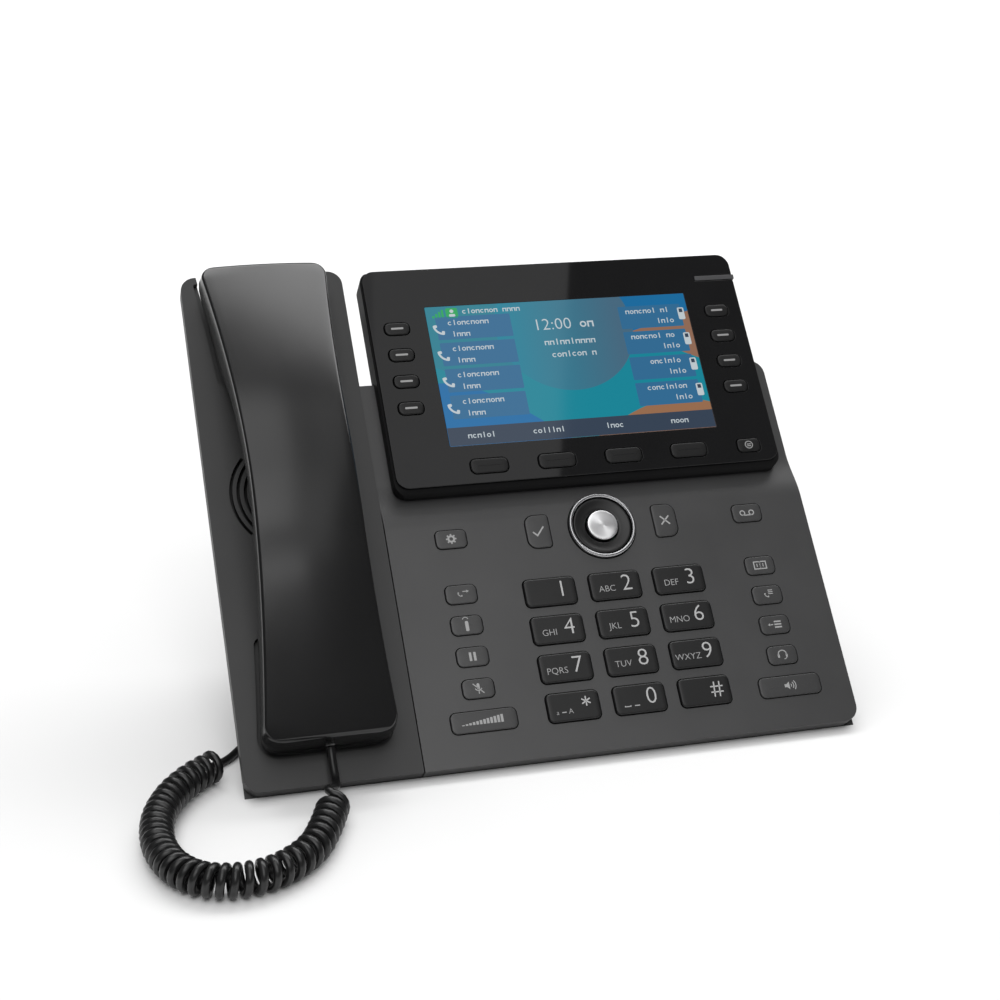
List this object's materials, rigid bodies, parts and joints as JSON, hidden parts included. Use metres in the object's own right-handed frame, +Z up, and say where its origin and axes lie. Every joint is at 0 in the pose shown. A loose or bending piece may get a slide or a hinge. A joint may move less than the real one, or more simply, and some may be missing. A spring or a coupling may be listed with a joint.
{
  "type": "desk IP phone",
  "caption": "Sloped desk phone with a corded handset on a left cradle, a raised colour display, a key panel with a round navigator and a coiled cord.",
  "frame": {"origin": "on the desk under the middle of the phone, its cord left out", "axes": "+X to the right seen from the front, +Y to the back, +Z up"},
  "size_m": [0.2748, 0.2133, 0.1644],
  "materials": {
    "grey_satin": "satin moulded, dark grey",
    "cradle_matte": "matt moulded, dark grey",
    "black_matte": "matt moulded, black",
    "handset_satin": "satin moulded, black",
    "gloss_black": "polished, black",
    "dial_key_black": "satin, near black",
    "function_key_grey": "satin, body colour",
    "smoked_lens": "clear window printed black round its edge",
    "screen": "lit colour display",
    "silver_trim": "bright ring",
    "brushed_knob": "circular brushed",
    "message_light": "smoked light pipe",
    "circuit_board": "green solder mask",
    "speaker_steel": "plain",
    "cord_rubber": "smooth, black",
    "clear_plug": "clear"
  },
  "bodies": {
    "base": {"front_housing": "grey_satin", "cradle": "cradle_matte", "rear_housing": "black_matte", "desk_stand": "black_matte", "display_housing": "black_matte", "display_lens": "smoked_lens", "lcd_panel": "screen", "message_light": "message_light", "nav_trim_ring": "silver_trim", "main_board": "circuit_board", "loudspeaker": "speaker_steel", "cord_coil": "cord_rubber", "cord_handset_tail": "cord_rubber", "cord_base_tail": "cord_rubber", "base_plug": "clear_plug"},
    "handset": {"handset_outer_shell": "handset_satin", "handset_inner_shell": "handset_satin", "handset_plug": "clear_plug"},
    "hook_switch": {"hook_switch": "black_matte"},
    "nav_centre": {"nav_centre": "brushed_knob"},
    "nav_ring": {"nav_ring": "dial_key_black"},
    "volume_rocker": {"volume_rocker": "function_key_grey"},
    "line_key_left_1": {"line_key_left_1": "gloss_black"},
    "speaker_key": {"speaker_key": "function_key_grey"},
    "dial_key_1": {"dial_key_1": "dial_key_black"},
    "dial_key_2": {"dial_key_2": "dial_key_black"},
    "dial_key_3": {"dial_key_3": "dial_key_black"},
    "dial_key_4": {"dial_key_4": "dial_key_black"},
    "dial_key_5": {"dial_key_5": "dial_key_black"},
    "dial_key_6": {"dial_key_6": "dial_key_black"},
    "dial_key_7": {"dial_key_7": "dial_key_black"},
    "dial_key_8": {"dial_key_8": "dial_key_black"},
    "dial_key_9": {"dial_key_9": "dial_key_black"},
    "dial_key_star": {"dial_key_star": "dial_key_black"},
    "dial_key_0": {"dial_key_0": "dial_key_black"},
    "dial_key_hash": {"dial_key_hash": "dial_key_black"},
    "line_key_left_2": {"line_key_left_2": "gloss_black"},
    "line_key_left_3": {"line_key_left_3": "gloss_black"},
    "line_key_left_4": {"line_key_left_4": "gloss_black"},
    "line_key_right_1": {"line_key_right_1": "gloss_black"},
    "line_key_right_2": {"line_key_right_2": "gloss_black"},
    "line_key_right_3": {"line_key_right_3": "gloss_black"},
    "line_key_right_4": {"line_key_right_4": "gloss_black"},
    "soft_key_1": {"soft_key_1": "gloss_black"},
    "soft_key_2": {"soft_key_2": "gloss_black"},
    "soft_key_3": {"soft_key_3": "gloss_black"},
    "soft_key_4": {"soft_key_4": "gloss_black"},
    "page_key": {"page_key": "gloss_black"},
    "transfer_key": {"transfer_key": "function_key_grey"},
    "paging_key": {"paging_key": "function_key_grey"},
    "hold_key": {"hold_key": "function_key_grey"},
    "mute_key": {"mute_key": "function_key_grey"},
    "directory_key": {"directory_key": "function_key_grey"},
    "call_log_key": {"call_log_key": "function_key_grey"},
    "menu_list_key": {"menu_list_key": "function_key_grey"},
    "headset_key": {"headset_key": "function_key_grey"},
    "settings_key": {"settings_key": "function_key_grey"},
    "voicemail_key": {"voicemail_key": "function_key_grey"},
    "confirm_key": {"confirm_key": "function_key_grey"},
    "cancel_key": {"cancel_key": "function_key_grey"}
  },
  "joints": [
    {"name": "handset_lift", "type": "slide", "parent": "base", "child": "handset", "axis": [0, -0.7314, 0.682], "range_m": [0, 0.12]},
    {"name": "hook_switch_rise", "type": "slide", "parent": "base", "child": "hook_switch", "axis": [0, -0.7314, 0.682], "range_m": [0, 0.003]},
    {"name": "nav_centre_press", "type": "slide", "parent": "base", "child": "nav_centre", "axis": [0, 0.7314, -0.682], "range_m": [0, 0.001], "stiffness_N_per_m": 400},
    {"name": "nav_ring_tilt", "type": "hinge", "parent": "base", "child": "nav_ring", "pos_m": [0.0323, -0.01092, 0.06874], "axis": [1, 0, 0], "range_deg": [-4, 4], "stiffness_Nm_per_rad": 0.05},
    {"name": "volume_rocker_tilt", "type": "hinge", "parent": "base", "child": "volume_rocker", "pos_m": [-0.0284, -0.06013, 0.01523], "axis": [0, 0.682, 0.7314], "range_deg": [-2.5, 2.5], "stiffness_Nm_per_rad": 0.08},
    {"name": "line_key_left_1_press", "type": "slide", "parent": "base", "child": "line_key_left_1", "axis": [0, 0.7314, -0.682], "range_m": [0, 0.0008], "stiffness_N_per_m": 400},
    {"name": "speaker_key_press", "type": "slide", "parent": "base", "child": "speaker_key", "axis": [0, 0.7314, -0.682], "range_m": [0, 0.001], "stiffness_N_per_m": 400},
    {"name": "dial_key_1_press", "type": "slide", "parent": "base", "child": "dial_key_1", "axis": [0, 0.7314, -0.682], "range_m": [0, 0.001], "stiffness_N_per_m": 400},
    {"name": "dial_key_2_press", "type": "slide", "parent": "base", "child": "dial_key_2", "axis": [0, 0.7314, -0.682], "range_m": [0, 0.001], "stiffness_N_per_m": 400},
    {"name": "dial_key_3_press", "type": "slide", "parent": "base", "child": "dial_key_3", "axis": [0, 0.7314, -0.682], "range_m": [0, 0.001], "stiffness_N_per_m": 400},
    {"name": "dial_key_4_press", "type": "slide", "parent": "base", "child": "dial_key_4", "axis": [0, 0.7314, -0.682], "range_m": [0, 0.001], "stiffness_N_per_m": 400},
    {"name": "dial_key_5_press", "type": "slide", "parent": "base", "child": "dial_key_5", "axis": [0, 0.7314, -0.682], "range_m": [0, 0.001], "stiffness_N_per_m": 400},
    {"name": "dial_key_6_press", "type": "slide", "parent": "base", "child": "dial_key_6", "axis": [0, 0.7314, -0.682], "range_m": [0, 0.001], "stiffness_N_per_m": 400},
    {"name": "dial_key_7_press", "type": "slide", "parent": "base", "child": "dial_key_7", "axis": [0, 0.7314, -0.682], "range_m": [0, 0.001], "stiffness_N_per_m": 400},
    {"name": "dial_key_8_press", "type": "slide", "parent": "base", "child": "dial_key_8", "axis": [0, 0.7314, -0.682], "range_m": [0, 0.001], "stiffness_N_per_m": 400},
    {"name": "dial_key_9_press", "type": "slide", "parent": "base", "child": "dial_key_9", "axis": [0, 0.7314, -0.682], "range_m": [0, 0.001], "stiffness_N_per_m": 400},
    {"name": "dial_key_star_press", "type": "slide", "parent": "base", "child": "dial_key_star", "axis": [0, 0.7314, -0.682], "range_m": [0, 0.001], "stiffness_N_per_m": 400},
    {"name": "dial_key_0_press", "type": "slide", "parent": "base", "child": "dial_key_0", "axis": [0, 0.7314, -0.682], "range_m": [0, 0.001], "stiffness_N_per_m": 400},
    {"name": "dial_key_hash_press", "type": "slide", "parent": "base", "child": "dial_key_hash", "axis": [0, 0.7314, -0.682], "range_m": [0, 0.001], "stiffness_N_per_m": 400},
    {"name": "line_key_left_2_press", "type": "slide", "parent": "base", "child": "line_key_left_2", "axis": [0, 0.7314, -0.682], "range_m": [0, 0.0008], "stiffness_N_per_m": 400},
    {"name": "line_key_left_3_press", "type": "slide", "parent": "base", "child": "line_key_left_3", "axis": [0, 0.7314, -0.682], "range_m": [0, 0.0008], "stiffness_N_per_m": 400},
    {"name": "line_key_left_4_press", "type": "slide", "parent": "base", "child": "line_key_left_4", "axis": [0, 0.7314, -0.682], "range_m": [0, 0.0008], "stiffness_N_per_m": 400},
    {"name": "line_key_right_1_press", "type": "slide", "parent": "base", "child": "line_key_right_1", "axis": [0, 0.7314, -0.682], "range_m": [0, 0.0008], "stiffness_N_per_m": 400},
    {"name": "line_key_right_2_press", "type": "slide", "parent": "base", "child": "line_key_right_2", "axis": [0, 0.7314, -0.682], "range_m": [0, 0.0008], "stiffness_N_per_m": 400},
    {"name": "line_key_right_3_press", "type": "slide", "parent": "base", "child": "line_key_right_3", "axis": [0, 0.7314, -0.682], "range_m": [0, 0.0008], "stiffness_N_per_m": 400},
    {"name": "line_key_right_4_press", "type": "slide", "parent": "base", "child": "line_key_right_4", "axis": [0, 0.7314, -0.682], "range_m": [0, 0.0008], "stiffness_N_per_m": 400},
    {"name": "soft_key_1_press", "type": "slide", "parent": "base", "child": "soft_key_1", "axis": [0, 0.7314, -0.682], "range_m": [0, 0.0008], "stiffness_N_per_m": 400},
    {"name": "soft_key_2_press", "type": "slide", "parent": "base", "child": "soft_key_2", "axis": [0, 0.7314, -0.682], "range_m": [0, 0.0008], "stiffness_N_per_m": 400},
    {"name": "soft_key_3_press", "type": "slide", "parent": "base", "child": "soft_key_3", "axis": [0, 0.7314, -0.682], "range_m": [0, 0.0008], "stiffness_N_per_m": 400},
    {"name": "soft_key_4_press", "type": "slide", "parent": "base", "child": "soft_key_4", "axis": [0, 0.7314, -0.682], "range_m": [0, 0.0008], "stiffness_N_per_m": 400},
    {"name": "page_key_press", "type": "slide", "parent": "base", "child": "page_key", "axis": [0, 0.7314, -0.682], "range_m": [0, 0.0008], "stiffness_N_per_m": 400},
    {"name": "transfer_key_press", "type": "slide", "parent": "base", "child": "transfer_key", "axis": [0, 0.7314, -0.682], "range_m": [0, 0.001], "stiffness_N_per_m": 400},
    {"name": "paging_key_press", "type": "slide", "parent": "base", "child": "paging_key", "axis": [0, 0.7314, -0.682], "range_m": [0, 0.001], "stiffness_N_per_m": 400},
    {"name": "hold_key_press", "type": "slide", "parent": "base", "child": "hold_key", "axis": [0, 0.7314, -0.682], "range_m": [0, 0.001], "stiffness_N_per_m": 400},
    {"name": "mute_key_press", "type": "slide", "parent": "base", "child": "mute_key", "axis": [0, 0.7314, -0.682], "range_m": [0, 0.001], "stiffness_N_per_m": 400},
    {"name": "directory_key_press", "type": "slide", "parent": "base", "child": "directory_key", "axis": [0, 0.7314, -0.682], "range_m": [0, 0.001], "stiffness_N_per_m": 400},
    {"name": "call_log_key_press", "type": "slide", "parent": "base", "child": "call_log_key", "axis": [0, 0.7314, -0.682], "range_m": [0, 0.001], "stiffness_N_per_m": 400},
    {"name": "menu_list_key_press", "type": "slide", "parent": "base", "child": "menu_list_key", "axis": [0, 0.7314, -0.682], "range_m": [0, 0.001], "stiffness_N_per_m": 400},
    {"name": "headset_key_press", "type": "slide", "parent": "base", "child": "headset_key", "axis": [0, 0.7314, -0.682], "range_m": [0, 0.001], "stiffness_N_per_m": 400},
    {"name": "settings_key_press", "type": "slide", "parent": "base", "child": "settings_key", "axis": [0, 0.7314, -0.682], "range_m": [0, 0.001], "stiffness_N_per_m": 400},
    {"name": "voicemail_key_press", "type": "slide", "parent": "base", "child": "voicemail_key", "axis": [0, 0.7314, -0.682], "range_m": [0, 0.001], "stiffness_N_per_m": 400},
    {"name": "confirm_key_press", "type": "slide", "parent": "base", "child": "confirm_key", "axis": [0, 0.7314, -0.682], "range_m": [0, 0.001], "stiffness_N_per_m": 400},
    {"name": "cancel_key_press", "type": "slide", "parent": "base", "child": "cancel_key", "axis": [0, 0.7314, -0.682], "range_m": [0, 0.001], "stiffness_N_per_m": 400}
  ],
  "couplings": [
    {"joint": "hook_switch_rise", "follows": "handset_lift", "ratio": 0.025}
  ]
}
